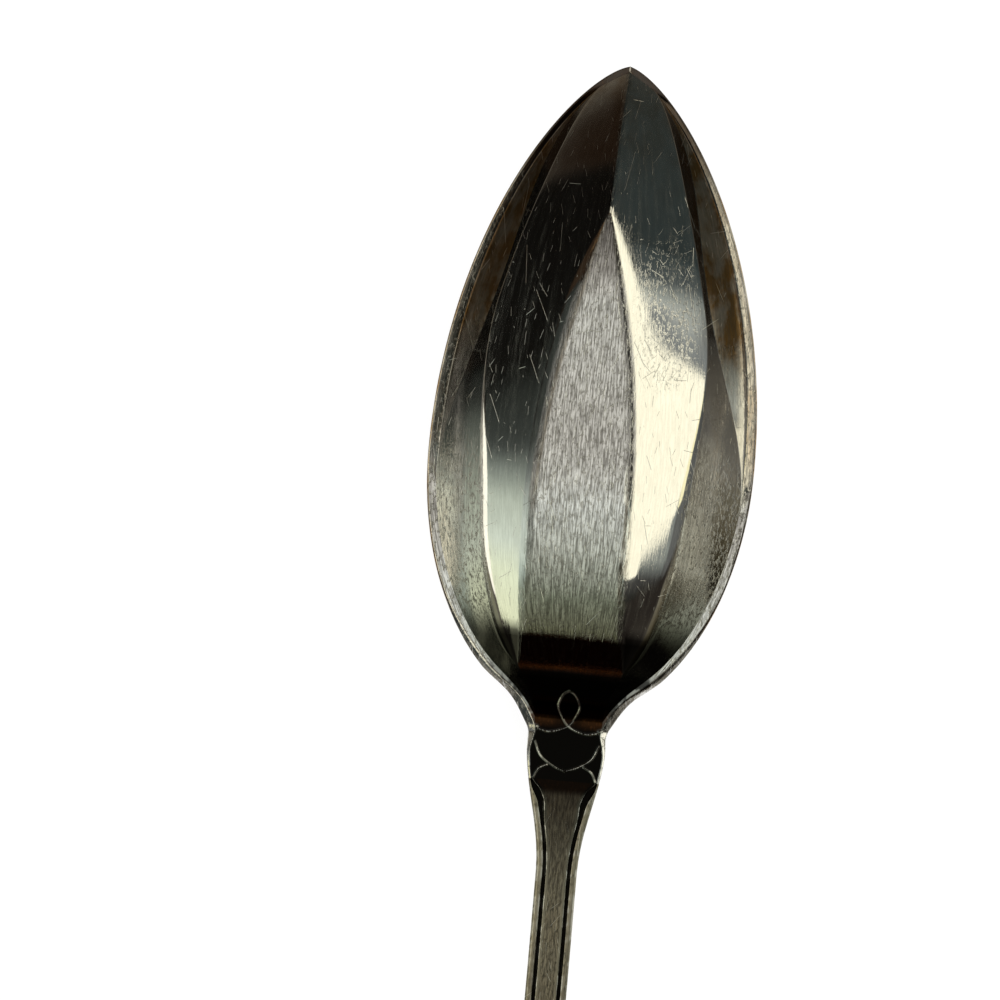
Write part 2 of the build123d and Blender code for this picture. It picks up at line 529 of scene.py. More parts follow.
    def stem_half_width(self, s: float) -> float:
        """Half width of the neck, stem and handle, without the rounding of its end.

        Args:
            s: Place along the spoon.

        Returns:
            The half width.
        """
        width = swell(self.neck_width, self.stem_width, (s - self.taper_start) / self.neck_taper)
        share = (s - self.swell_start) / (self.swell_end - self.swell_start)
        return (width + swell(0.0, self.end_width - self.stem_width, share)) / 2.0

    def wall_cut(self, s: float) -> float:
        """Distance that the front walls cut the side walls back."""
        return self.front_cut * sin(pi * min(s / self.front_length, 1.0)) ** 2

    def edge_height(self, s: float) -> float:
        """Height of the upright edge, from the rim to the stem."""
        return swell(self.rim_edge, self.stem_edge, (s - self.oval_end) / self.neck_taper)

    def bevel(self, s: float) -> float:
        """Width of the ground bevel on the top edge.

        Args:
            s: Place along the spoon.

        Returns:
            The width, which is greatest at the shoulders.
        """
        if s < self.bowl_length:
            share = (s - self.shoulder_start) / (self.bowl_length - self.shoulder_start)
            return swell(self.rim_bevel, self.shoulder_bevel, share)
        share = (s - self.bowl_length) / (self.shoulder_end - self.bowl_length)
        return swell(self.shoulder_bevel, self.stem_bevel, share)

    def painted_shade(self, s: float) -> float:
        """How dark the painted shade on the top is, from the back of the hollow along the neck and
        into the handle.
        """
        fade = [(s - start) / (end - start) for start, end in (self.dark_start, self.dark_end)]
        return swell(0.0, 1.0, fade[0]) * swell(1.0, 0.0, fade[1])

    def bevel_foot(self, s: float) -> tuple[float, float]:
        """Inset and drop of the bevel's lower edge, where the upright edge starts."""
        inset = self.bevel_slope * self.bevel(s) / (self.bevel_slope + self.edge_slope)
        return inset, self.edge_slope * inset

    def edge_spread(self) -> float:
        """Sideways distance that a millimetre of upright edge moves the sloping wall under it."""
        return 1.0 / self.wall_slope - 1.0 / self.edge_slope

    def edge_foot(self, s: float) -> tuple[float, float]:
        """Inset and drop of the upright edge's lower edge.

        Args:
            s: Place along the spoon.

        Returns:
            Both distances from the top edge.
        """
        out = self.wall_cut(s) + self.edge_height(s) * self.edge_spread()
        inset = self.wall_slope * out / (self.edge_slope - self.wall_slope)
        return inset, self.edge_slope * inset

    def hollow_panels(self, s: float) -> list[Panel]:
        """Panels of the hollow, from the middle to the rim.

        Args:
            s: Place along the spoon.

        Returns:
            Middle panel, floor, side wall and front wall.
        """
        floor = self.hollow_floor(s)
        top = self.top(s)
        half = self.hollow_half_width(s)
        gap = self.front_clear * max(s - self.front_length, 0.0)
        return [
            Panel(floor, 0.0),
            Panel(floor - self.floor_slope * self.middle_half_width(s), self.floor_slope),
            Panel(top - self.wall_slope * (half + self.wall_cut(s)), self.wall_slope),
            Panel(top - self.front_slope * (half + gap), self.front_slope),
        ]

    def back_panels(self, s: float) -> list[Panel]:
        """Panels of the bowl's and neck's back, from the middle to the edge.

        Args:
            s: Place along the spoon.

        Returns:
            Flat, floor, side wall and upright edge.
        """
        floor = self.underside(s)
        top = self.top(s)
        half = self.half_width(s)
        out = self.wall_cut(s) + self.edge_height(s) * self.edge_spread()
        return [
            Panel(floor, 0.0),
            Panel(floor - self.floor_slope * self.middle_half_width(s), self.floor_slope),
            Panel(top - self.wall_slope * (half + out), self.wall_slope),
            Panel(top - self.edge_slope * half, self.edge_slope),
        ]


@dataclass(frozen=True)
class Stroke:
    """One engraved line through a few points, on both sides of the mid-plane."""

    points: tuple[tuple[float, float], ...]
    width: float = 0.05
    depth: float = 0.06

    def line(self, steps: int = 8) -> list[Vector]:
        """Points of a smooth curve through the stroke's own points.

        Args:
            steps: Divisions of each span.

        Returns:
            The curve.
        """
        knots = [Vector(point) for point in self.points]
        ends = [knots[0] * 2.0 - knots[1], *knots, knots[-1] * 2.0 - knots[-2]]
        curve = [knots[0]]
        for a, b, c, d in zip(ends, ends[1:], ends[2:], ends[3:]):
            for k in range(1, steps + 1):
                t = k / steps
                bend = (a * 2.0 - b * 5.0 + c * 4.0 - d) * t**2 + (b * 3.0 - a - c * 3.0 + d) * t**3
                curve.append((b * 2.0 + (c - a) * t + bend) * 0.5)
        return curve


@dataclass
class Ornament:
    """The engraving of the neck.

    An almond, whose lines cross into two swags with a dot at each end, stands over a garland and
    two arches.
    """

    strokes: tuple[Stroke, ...] = (
        Stroke((
            (0.0, 51.42), (0.5, 51.75), (0.88, 52.6), (0.6, 53.4), (-0.05, 54.25),
            (-1.4, 54.74), (-2.45, 54.6),
        )),
        Stroke(((2.62, 54.46), (2.68, 54.44)), width=0.13),
        Stroke(((2.62, 55.6), (2.1, 56.7), (1.1, 57.42), (0.0, 57.85))),
        Stroke(((2.56, 58.5), (2.2, 57.8), (1.5, 57.4))),
    )
    reach: float = 0.45
    lines: list[tuple[Stroke, list[Vector]]] = field(init=False)

    def __post_init__(self) -> None:
        """Work the curves out once."""
        self.lines = [(stroke, stroke.line()) for stroke in self.strokes]

    def distance(self, line: Sequence[Vector], spot: Vector) -> float:
        """Distance of a spot from a curve.

        Args:
            line: Points of the curve.
            spot: Place across and along the spoon.

        Returns:
            The distance to the nearest span.
        """
        gaps = []
        for start, end in zip(line, line[1:]):
            run = end - start
            share = min(max((spot - start).dot(run) / max(run.length_squared, TINY), 0.0), 1.0)
            gaps.append((spot - start - run * share).length)
        return min(gaps)

    def cut(self, x: float, s: float) -> tuple[float, float]:
        """How deep and how bright the engraving is at a place.

        Args:
            x: Place across the spoon.
            s: Place along it.

        Returns:
            Depth in millimetres, and a share that is 1 on a line.
        """
        depth = 0.0
        share = 0.0
        for stroke, line in self.lines:
            low = min(point.y for point in line) - self.reach
            high = max(point.y for point in line) + self.reach
            if not low < s < high:
                continue
            for side in (x, -x):
                near = self.distance(line, Vector((side, s)))
                mark = exp(-((near / stroke.width) ** 2))
                depth = max(depth, stroke.depth * mark)
                share = max(share, mark)
        return depth, share


class Shade:
    """A socket of a node tree, for shader maths written as Python expressions."""

    def __init__(self, book: "NodeBook", socket: bpy.types.NodeSocket) -> None:
        """Wrap one output socket of a node tree."""
        self.book = book
        self.socket = socket

    def math(self, operation: str, *values: "Shade | float") -> "Shade":
        """Math node on this value and others.

        Args:
            operation: Name of the node's operation.
            values: The other values.

        Returns:
            The node's result.
        """
        inputs = dict(enumerate((self, *values)))
        return self.book.add("ShaderNodeMath", {"operation": operation}, inputs)

    def reflected(self, operation: str, value: "Shade | float") -> "Shade":
        """Math node with the other value first."""
        return self.book.add("ShaderNodeMath", {"operation": operation}, {0: value, 1: self})

    def __add__(self, other: "Shade | float") -> "Shade":
        """Sum of two values."""
        return self.math("ADD", other)

    def __radd__(self, other: float) -> "Shade":
        """Sum with a number first."""
        return self.reflected("ADD", other)

    def __sub__(self, other: "Shade | float") -> "Shade":
        """Difference of two values."""
        return self.math("SUBTRACT", other)

    def __rsub__(self, other: float) -> "Shade":
        """Difference with a number first."""
        return self.reflected("SUBTRACT", other)

    def __mul__(self, other: "Shade | float") -> "Shade":
        """Product of two values."""
        return self.math("MULTIPLY", other)

    def __rmul__(self, other: float) -> "Shade":
        """Product with a number first."""
        return self.reflected("MULTIPLY", other)

    def __truediv__(self, other: "Shade | float") -> "Shade":
        """Quotient of two values."""
        return self.math("DIVIDE", other)

    def __pow__(self, other: "Shade | float") -> "Shade":
        """Power of a value."""
        return self.math("POWER", other)

    def __abs__(self) -> "Shade":
        """Size of a value without its sign."""
        return self.math("ABSOLUTE")

    def most(self, other: "Shade | float") -> "Shade":
        """Larger of two values."""
        return self.math("MAXIMUM", other)

    def least(self, other: "Shade | float") -> "Shade":
        """Smaller of two values."""
        return self.math("MINIMUM", other)

    def step(self, low: float, high: float) -> "Shade":
        """Smooth step of a value.

        Args:
            low: Value that gives 0.
            high: Value that gives 1, which may be the smaller of the two.

        Returns:
            The step.
        """
        ends = {3: 0.0, 4: 1.0} if low < high else {3: 1.0, 4: 0.0}
        inputs = {0: self, 1: min(low, high), 2: max(low, high), **ends}
        return self.book.add("ShaderNodeMapRange", {"interpolation_type": "SMOOTHSTEP"}, inputs)

    def between(self, least: float, most: float) -> "Shade":
        """Value that goes from least to most as this one goes from 0 to 1."""
        return self * (most - least) + least


Value = Shade | float | Colour


class NodeBook:
    """The nodes of one material or of the surroundings."""

    def __init__(self, tree: bpy.types.NodeTree) -> None:
        """Start with an empty tree."""
        self.tree = tree
        tree.nodes.clear()

    def add(
        self,
        kind: str,
        settings: dict[str, object] | None = None,
        inputs: dict[int | str, Value] | None = None,
        output: int | str = 0,
    ) -> Shade:
        """Node of any type.

        Args:
            kind: Type of the node.
            settings: Its own settings, set before its sockets.
            inputs: Values or links of its input sockets, by number or name.
            output: Output socket that is wanted.

        Returns:
            That output socket, or the node's first input where it has no output.
        """
        node = self.tree.nodes.new(kind)
        for name, value in (settings or {}).items():
            if name == "stops":
                self.set_stops(node.color_ramp, value)
            else:
                setattr(node, name, value)
        for key, value in (inputs or {}).items():
            socket = node.inputs[key]
            if isinstance(value, Shade):
                self.tree.links.new(value.socket, socket)
            elif isinstance(value, tuple) and socket.type == "RGBA":
                socket.default_value = (*value, 1.0)
            else:
                socket.default_value = value
        return Shade(self, node.outputs[output] if node.outputs else node.inputs[0])

    def set_stops(self, ramp: bpy.types.ColorRamp, stops: Sequence[tuple[float, Colour]]) -> None:
        """Give a colour ramp its stops.

        Args:
            ramp: Ramp of a new node, which has two stops.
            stops: Places and colours, in order.
        """
        ramp.interpolation = "LINEAR"
        while len(ramp.elements) < len(stops):
            ramp.elements.new(1.0)
        for element, (place, colour) in zip(ramp.elements, stops):
            element.position = place
            element.color = (*colour, 1.0)

    def other(self, shade: Shade, output: int | str) -> Shade:
        """Another output socket of the same node."""
        return Shade(self, shade.socket.node.outputs[output])

    def mix(self, factor: Shade | float, first: Value, second: Value) -> Shade:
        """Mix of two colours.

        Args:
            factor: Share of the second colour.
            first: Colour or link at a factor of 0.
            second: Colour or link at a factor of 1.

        Returns:
            The mixed colour.
        """
        return self.add("ShaderNodeMix", {"data_type": "RGBA"}, {0: factor, 6: first, 7: second}, 2)

    def vector(self, operation: str, first: Value, second: Value) -> Shade:
        """Vector Math node on two vectors."""
        return self.add("ShaderNodeVectorMath", {"operation": operation}, {0: first, 1: second})

    def noise(self, place: Shade, scale: Colour, detail: float, roughness: float) -> Shade:
        """Noise node.

        Args:
            place: Places to read it at.
            scale: Its cells per unit along each axis.
            detail: Number of finer layers.
            roughness: Strength of each layer against the one before.

        Returns:
            The noise.
        """
        cells = self.vector("MULTIPLY", place, scale)
        inputs = {"Vector": cells, "Scale": 1.0, "Detail": detail, "Roughness": roughness}
        return self.add("ShaderNodeTexNoise", {}, inputs)

    def trait(self, trait: Trait) -> Shade:
        """Value that the mesh carries."""
        return self.add("ShaderNodeAttribute", {"attribute_name": trait.value}, {}, "Fac")


def new_material(name: str) -> tuple[bpy.types.Material, NodeBook]:
    """Material with an empty node tree.

    Args:
        name: Name of the material.

    Returns:
        The material, and the book of its nodes.
    """
    material = bpy.data.materials.new(name)
    material.use_nodes = True
    return material, NodeBook(material.node_tree)


def show(name: str, data: bpy.types.ID) -> bpy.types.Object:
    """Put an object into the scene.

    Args:
        name: Name of the object.
        data: Its mesh, lamp or camera.

    Returns:
        The object.
    """
    made = bpy.data.objects.new(name, data)
    bpy.context.scene.collection.objects.link(made)
    return made


@dataclass(frozen=True)
class Grain:
    """Noise of one size, as a mask between two of its values."""

    scale: Colour
    detail: float
    low: float
    high: float
    roughness: float = 0.65

    def mask(self, book: NodeBook, place: Shade) -> Shade:
        """The mask at some places."""
        return book.noise(place, self.scale, self.detail, self.roughness).step(self.low, self.high)


@dataclass(frozen=True)
class Scratches:
    """A layer of straight hairlines, one in each cell of a random pattern."""

    cell: float
    turn: float
    fan: float
    width: float
    length: float
    kept: float
    shift: float
    core: float = 0.2
    taper: float = 0.3

    def mask(self, book: NodeBook, place: Shade) -> Shade:
        """Hairlines as a mask.

        Args:
            book: Node tree to add to.
            place: Object coordinates in millimetres.

        Returns:
            A value that is 1 on a hairline.
        """
        cells = book.add(
            "ShaderNodeMapping",
            {"vector_type": "POINT"},
            {
                "Vector": place,
                "Location": (self.shift, self.shift, 0.0),
                "Scale": (1.0 / self.cell, 1.0 / self.cell, 0.0),
            },
        )
        inputs = {"Vector": cells, "Scale": 1.0}
        pattern = book.add("ShaderNodeTexVoronoi", {"voronoi_dimensions": "2D"}, inputs)
        chance = book.add("ShaderNodeSeparateColor", {}, {0: book.other(pattern, "Color")})
        angle = (chance - 0.5) * radians(self.fan) + radians(self.turn)
        offset = book.vector("SUBTRACT", cells, book.other(pattern, "Position"))
        across = book.add("ShaderNodeSeparateXYZ", {}, {0: offset})
        along = book.other(across, 1)
        sine = angle.math("SINE")
        cosine = angle.math("COSINE")
        aside = abs(across * cosine + along * sine)
        ahead = abs(along * cosine - across * sine)
        thin = aside.step(self.width / self.cell, self.core * self.width / self.cell)
        reach = book.other(chance, 1) * (self.length / self.cell)
        short = (reach - ahead).step(0.0, self.taper * self.length / self.cell)
        return thin * short * book.other(chance, 2).math("LESS_THAN", self.kept)


@dataclass(frozen=True)
class Scuff:
    """An oval of the surface that carries more scratches, given by its middle and half sizes."""

    middle: tuple[float, float]
    half: tuple[float, float]
    core: float = 0.4

    def mask(self, x: Shade, y: Shade) -> Shade:
        """Where the oval lies.

        Args:
            x: Place across the spoon.
            y: Place along it.

        Returns:
            A value that is 1 in the middle of the oval.
        """
        aside = ((x - self.middle[0]) / self.half[0]) ** 2.0
        ahead = ((y - self.middle[1]) / self.half[1]) ** 2.0
        return (aside + ahead).step(1.0, self.core)


@dataclass(frozen=True)
class Wear:
    """What a finish carries at each place of its surface, as masks."""

    place: Shade
    brush: Shade
    broad: Shade
    cloud: Shade
    speck: Shade
    brushed: Shade
    tarnish: Shade
    patina_and_shade: Shade
    clear: Shade
    worn: Shade
    pits: Shade
    hairline: Shade


@dataclass(frozen=True)
class SilverFinish:
    """Plated silver that has been polished, used and left to tarnish, and painted dark where the
    mesh carries painted shade.

    It is a mirror under a veil of fine scratches, which is a second, rougher lobe.
    """

    name: str
    tone: Colour = (0.86, 0.85, 0.82)
    tarnish_tone: Colour = (0.36, 0.20, 0.065)
    mottle_tone: Colour = (0.20, 0.18, 0.14)
    # near black of the dark patina and of the painted shade
    patina_and_shade_tone: Colour = (0.004, 0.0035, 0.003)
    ember_tone: Colour = (0.08, 0.03, 0.010)
    worn_tone: Colour = (0.95, 0.94, 0.90)
    brush_tone: Colour = (0.26, 0.25, 0.23)
    polish: float = 0.03
    veil_rough: float = 0.40
    veil: float = 0.01
    streaks: float = 0.30
    brushed: float = 0.95
    mottle: float = 0.65
    brush: Grain = Grain((105.0, 0.55, 0.0), 4.0, 0.38, 0.64)
    broad: Grain = Grain((26.0, 0.045, 0.0), 3.0, 0.42, 0.68)
    cloud: Grain = Grain((0.45, 0.3, 0.45), 4.0, 0.35, 0.7)
    speck: Grain = Grain((5.0, 2.0, 5.0), 3.0, 0.52, 0.68)
    flicker: Grain = Grain((0.9, 0.7, 0.9), 2.0, 0.46, 0.6)
    worn_range: tuple[float, float] = (0.12, 0.90)
    stain_range: tuple[float, float] = (0.5, 1.3)
    ember_range: tuple[float, float] = (0.4, 1.0)
    streak_range: tuple[float, float] = (0.3, 1.0)
    hairline_white: float = 0.5
    veil_tarnish: float = 0.3
    veil_pits: float = 0.3
    veil_hairline: float = 0.6
    veil_worn: float = 0.4
    relief_hairline: float = -1.1
    relief_brush: float = 0.06
    relief_pits: float = 0.9
    relief_strength: float = 0.35
    relief_height: float = 0.02
    wave: float = 0.10
    wave_scale: Colour = (0.22, 0.10, 0.22)
    wave_detail: float = 1.0
    wave_rough: float = 0.4
    wave_height: float = 0.25
    scratches: tuple[Scratches, ...] = (
        Scratches(2.9, 8.0, 40.0, 0.026, 2.4, 0.35, 3.7),
        Scratches(1.5, -30.0, 140.0, 0.022, 0.9, 0.3, 11.3),
        Scratches(0.8, 5.0, 50.0, 0.016, 0.6, 0.4, 23.9),
    )
    scuff: Scuff = Scuff((5.6, 55.8), (3.2, 7.8))
    scuff_pits: float = 0.38
    scuff_scratches: tuple[Scratches, ...] = (
        Scratches(1.6, 10.0, 120.0, 0.028, 1.5, 0.6, 41.0),
        Scratches(0.8, -20.0, 160.0, 0.018, 0.6, 0.6, 57.0),
    )

    def material(self) -> bpy.types.Material:
        """Make the material.

        Returns:
            A metal whose tarnish, dark patina, painted shade and worn places follow the mesh's
            attributes.
        """
        material, book = new_material(self.name)
        wear = self.wear(book)
        shared = {
            "Base Color": self.colour(book, wear),
            "Metallic": 1.0,
            "Normal": self.normal(book, wear),
        }
        mirror, film = (
            book.add("ShaderNodeBsdfPrincipled", {}, {**shared, "Roughness": rough})
            for rough in (self.polish, self.veil_rough)
        )
        metal = book.add("ShaderNodeMixShader", {}, {0: self.film(wear), 1: mirror, 2: film})
        book.add("ShaderNodeOutputMaterial", {}, {"Surface": metal})
        return material

    def wear(self, book: NodeBook) -> Wear:
        """Read the mesh's attributes and lay the patterns over them.

        Args:
            book: Node tree to add to.

        Returns:
            The masks.
        """
        coordinates = book.add("ShaderNodeTexCoord", {}, {}, "Object")
        scaled = {0: coordinates, "Scale": 1.0 / MM}
        place = book.add("ShaderNodeVectorMath", {"operation": "SCALE"}, scaled)
        across = book.add("ShaderNodeSeparateXYZ", {}, {0: place})
        along = book.other(across, 1)
        lane = book.add("ShaderNodeCombineXYZ", {}, {0: book.trait(Trait.LANE), 1: along})
        speck = self.speck.mask(book, place)
        flicker = self.flicker.mask(book, place)
        scuffed = self.scuff.mask(across, along)
        # dark patina together with painted shade
        patina_and_shade = book.trait(Trait.PATINA_AND_SHADE)
        clear = 1.0 - patina_and_shade
        hairline, scuffs = (
            reduce(Shade.most, [layer.mask(book, place) for layer in layers])
            for layers in (self.scratches, self.scuff_scratches)
        )
        return Wear(
            place=place,
            brush=self.brush.mask(book, lane),
            broad=self.broad.mask(book, lane),
            cloud=self.cloud.mask(book, place),
            speck=speck,
            brushed=book.trait(Trait.BRUSH),
            tarnish=book.trait(Trait.TARNISH),
            patina_and_shade=patina_and_shade,
            clear=clear,
            worn=book.trait(Trait.WORN) * flicker.between(*self.worn_range),
            pits=(book.trait(Trait.PITS) + scuffed * self.scuff_pits) * speck * clear,
            hairline=hairline.most(scuffs * scuffed) * clear,
        )

    def colour(self, book: NodeBook, wear: Wear) -> Shade:
        """Colour of the metal, its tarnish, its dark patina and its painted shade.

        Args:
            book: Node tree to add to.
            wear: Masks of the surface.

        Returns:
            The colour.
        """
        stain = (wear.tarnish * wear.cloud.between(*self.stain_range)).least(1.0)
        ground = book.mix(stain, self.tone, self.tarnish_tone)
        ground = book.mix(wear.pits * self.mottle, ground, self.mottle_tone)
        lines = (1.0 - wear.brush) * wear.brushed * self.brushed
        ground = book.mix(lines, ground, self.brush_tone)
        ember = wear.tarnish * wear.speck.between(*self.ember_range)
        dark = book.mix(ember, self.patina_and_shade_tone, self.ember_tone)
        metal = book.mix(wear.patina_and_shade, ground, dark)
        rubbed = (wear.worn + wear.hairline * self.hairline_white).least(1.0)
        return book.mix(rubbed, metal, self.worn_tone)

    def film(self, wear: Wear) -> Shade:
        """Share of the rougher lobe.

        Args:
            wear: Masks of the surface.

        Returns:
            The share.
        """
        streaks = wear.broad * wear.brush * wear.brushed.between(*self.streak_range)
        veil = streaks * self.streaks + self.veil + wear.tarnish**2.0 * self.veil_tarnish
        marks = wear.pits * self.veil_pits + wear.hairline * self.veil_hairline
        return (veil * wear.clear + marks + wear.worn * self.veil_worn).least(1.0)

    def normal(self, book: NodeBook, wear: Wear) -> Shade:
        """Slight waves in the metal, with its scratches and pits on them.

        Args:
            book: Node tree to add to.
            wear: Masks of the surface.

        Returns:
            The normal.
        """
        ripple = book.noise(wear.place, self.wave_scale, self.wave_detail, self.wave_rough)
        relief = wear.hairline * self.relief_hairline
        relief = relief + wear.brush * self.relief_brush + wear.pits * self.relief_pits
        bumps = (
            (self.wave, self.wave_height, ripple),
            (self.relief_strength, self.relief_height, relief),
        )
        normal: dict[int | str, Value] = {}
        for strength, height, shape in bumps:
            inputs = {"Strength": strength, "Distance": height * MM, "Height": shape, **normal}
            bump = book.add("ShaderNodeBump", {}, inputs)
            normal = {"Normal": bump}
        return bump


@dataclass
class Piece:
    """A named region of the spoon: what all of them share."""

    form: SpoonForm
    ornament: Ornament
    name: str
    finish: SilverFinish
    sharp_angle: float = radians(50.0)
    merge: float = 0.0004
    sliver: float = 0.0002
    lane_least: float = 1.0

    def rings(self) -> list[list[Spot]]:
        """Half cross-sections of the piece, in order."""
        raise NotImplementedError

    def build(self) -> bpy.types.Object:
        """Make the piece's mesh and hang it in the frame.

        Returns:
            The finished object.
        """
        rows = [half + [spot.mirrored() for spot in reversed(half)] for half in self.rings()]
        mesh = bpy.data.meshes.new(self.name + "_skin")
        shell = bmesh.new()
        self.cover(shell, rows)
        self.close(shell)
        shell.to_mesh(mesh)
        shell.free()
        mesh.set_sharp_from_angle(angle=self.sharp_angle)
        piece = show(self.name + "_skin", mesh)
        self.dress(piece)
        return piece

    def cover(self, shell: bmesh.types.BMesh, rows: Sequence[Sequence[Spot]]) -> None:
        """Lay a grid over the piece's cross-sections.

        Args:
            shell: Mesh to fill.
            rows: Whole cross-sections, each with the same number of spots.
        """
        across = len(rows[0]) - 1
        along = len(rows) - 1
        bmesh.ops.create_grid(shell, x_segments=across, y_segments=along, size=1.0)
        layers = {trait: shell.verts.layers.float.new(trait.value) for trait in Trait}
        for vertex in shell.verts:
            column = round((vertex.co.x + 1.0) / 2.0 * across)
            row = round((vertex.co.y + 1.0) / 2.0 * along)
            spot = rows[row][column]
            vertex.co = self.form.place(spot)
            spot.lane = spot.x / max(self.form.half_width(spot.s), self.lane_least)
            for trait, layer in layers.items():
                vertex[layer] = getattr(spot, trait.value)

    def close(self, shell: bmesh.types.BMesh) -> None:
        """Join the grid's seams, close its ends and turn its faces outwards.

        Args:
            shell: Mesh of the piece, which is changed.
        """
        bmesh.ops.remove_doubles(shell, verts=shell.verts, dist=self.merge * MM)
        bmesh.ops.dissolve_degenerate(shell, edges=shell.edges, dist=self.sliver * MM)
        rim = [edge for edge in shell.edges if edge.is_boundary]
        bmesh.ops.holes_fill(shell, edges=rim, sides=0)
        bmesh.ops.recalc_face_normals(shell, faces=shell.faces)
        for face in shell.faces:
            face.smooth = True

    def dress(self, piece: bpy.types.Object) -> None:
        """Give the object its finish and its place in the frame.

        Args:
            piece: Object of the piece.
        """
        piece.data.materials.append(self.finish.material())
        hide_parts(self.name)
        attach(piece, "root")


@dataclass
class Blade(Piece):
    """What the bowl and the neck share: a hollow, a ground edge and a panelled back.

    The changes along the spoon set how rounded its corners are, how worn its sides, and where shade
    is painted on them.
    """

    middle_steps: int = 44
    gap: float = 0.02
    gap_count: float = 24.0
    back_clear: float = 0.2
    bevel_limit: float = 0.6
    keel_round: float = 0.22
    middle_round: float = 0.85
    floor_round: Change = Change(0.05, 0.55, 22.0, 14.0)
    crescent_round: float = 0.07
    rim_round: float = 0.25
    bevel_round: float = 0.3
    edge_round: float = 0.2
    foot_round: float = 0.15
    back_wall_round: float = 0.5
    back_floor_round: float = 0.6
    floor_sag: float = 0.012
    slide_lead: float = 0.2
    slide_length: float = 0.9
    slide_gaps: float = 4.0
    lip_slope: float = 0.23
    lip_limit: float = 0.5
    lip_end: Change = Change(1.0, 0.0, 45.0, 4.0)
    ridge_start: Change = Change(0.0, 0.5, 17.0, 4.0)
    ridge_end: Change = Change(1.0, 0.0, 29.0, 4.0)
    tip_tarnish: Change = Change(0.5, 0.0, 0.0, 16.0)
    tip_black: Change = Change(0.9, 0.0, 5.0, 9.0)
    # painted shade that darkens the back of the hollow: its middle panel, floor and walls
    ramp_painted_shade: Change = Change(0.0, 0.85, 47.0, 0.4)
    floor_painted_shade: Change = Change(0.0, 0.97, 45.9, 1.3)
    wall_painted_shade: Change = Change(0.0, 0.93, 44.0, 3.6)
    wall_haze: Change = Change(0.45, 0.0, 28.0, 5.5)
    wall_pits: Change = Change(0.15, 1.0, 30.0, 5.0)
    wall_brush: Change = Change(0.0, 0.5, 29.0, 4.0)
    crescent_bronze: Change = Change(1.0, 0.06, 20.5, 6.0)
    rim_dull: Change = Change(0.5, 0.05, 30.0, 6.0)
    shoulder_ground: Change = Change(0.0, 1.0, 44.0, 3.0)
    ember_start: Change = Change(0.0, 1.0, 52.5, 0.9)
    ember_end: Change = Change(1.0, 0.0, 53.7, 0.9)
    ember_aside: Change = Change(0.3, 1.0, 0.6, 1.0)
    engraving_worn: float = 0.8

    def half_ring(self, s: float) -> list[Spot]:
        """Half cross-section, from the middle of the top round to the middle of the back.

        Args:
            s: Place along the spoon.

        Returns:
            Its spots.
        """
        inner, bevel_start = self.top_places(s)
        section = soften(self.corners(s, inner, bevel_start), self.sides(s))
        turn = section.index(max(section, key=lambda point: point[0]))
        spots = []
        for index, (x, z, side) in enumerate(section):
            spot = Spot(x, s, z, side.tarnish, side.patina_and_shade, side.worn, side.pits, side.brush)
            if index < turn:
                self.finish_top(spot, inner, bevel_start)
            spots.append(spot)
        return spots

    def least_gap(self, s: float) -> float:
        """Least distance between two corners of a section."""
        return min(self.gap, self.form.half_width(s) / self.gap_count)

    def top_places(self, s: float) -> tuple[list[float], float]:
        """Places of the top's corners across the spoon.

        Args:
            s: Place along the spoon.

        Returns:
            The hollow's creases with the rim's inner edge, and the ground bevel's inner edge.
        """
        form = self.form
        top = form.top(s)
        half = form.half_width(s)
        gap = self.least_gap(s)
        bevel_start = max(half - form.bevel(s), self.bevel_limit * half)
        panels = form.hollow_panels(s)
        rim = min((top - panel.height) / panel.slope for panel in panels[1:])
        if form.hollow_floor(s) >= top:
            share = (s - form.bowl_length + self.slide_lead) / self.slide_length
            rim = swell(rim, bevel_start - self.slide_gaps * gap, share)
        rim = min(max(rim, 0.0), bevel_start - gap)
        places = [max(x, self.keel_round) for x in creases(panels)]
        return spread([*places, rim], rim + gap, gap), bevel_start

    def corners(self, s: float, inner: Sequence[float], bevel_start: float) -> list[Corner]:
        """Corners of a half cross-section.

        Args:
            s: Place along the spoon.
            inner: Creases of the hollow and the rim's inner edge.
            bevel_start: Inner edge of the ground bevel.

        Returns:
            The corners, from the middle of the top round to the middle of the back.
        """
        form = self.form
        top = form.top(s)
        gap = self.least_gap(s)
        bevel_in, bevel_drop = form.bevel_foot(s)
        outer = form.half_width(s) - bevel_in
        panels = form.hollow_panels(s)
        middle, floor, wall, crescent = (highest(panels, x, top) for x in (0.0, *inner[:3]))
        lip = self.lip_slope * (bevel_start - inner[3]) * self.lip_end.at(s)
        share = min(lip / max(top - crescent, TINY), self.lip_limit)
        rim = inner[3] + (inner[2] - inner[3]) * share
        ridge = self.ridge_start.at(s) * self.ridge_end.at(s)
        backs = form.back_panels(s)
        floor_end, wall_end, foot = creases(backs)
        under = [max(floor_end, self.keel_round), wall_end, foot]
        under = spread(under, outer - self.back_clear * gap, gap)
        heights = [highest(backs, x, top - bevel_drop - gap) for x in (0.0, *under)]
        return [
            Corner(0.0, middle),
            Corner(inner[0], floor, self.middle_round),
            Corner(inner[1], wall, self.floor_round.at(s)),
            Corner(inner[2], crescent, self.crescent_round, worn=ridge),
            Corner(rim, top + (crescent - top) * share, self.rim_round),
            Corner(bevel_start, top, self.bevel_round),
            Corner(outer, top - bevel_drop, self.edge_round),
            Corner(under[2], heights[3], self.foot_round),
            Corner(under[1], heights[2], self.back_wall_round),
            Corner(under[0], heights[1], self.back_floor_round),
            Corner(0.0, heights[0]),
        ]

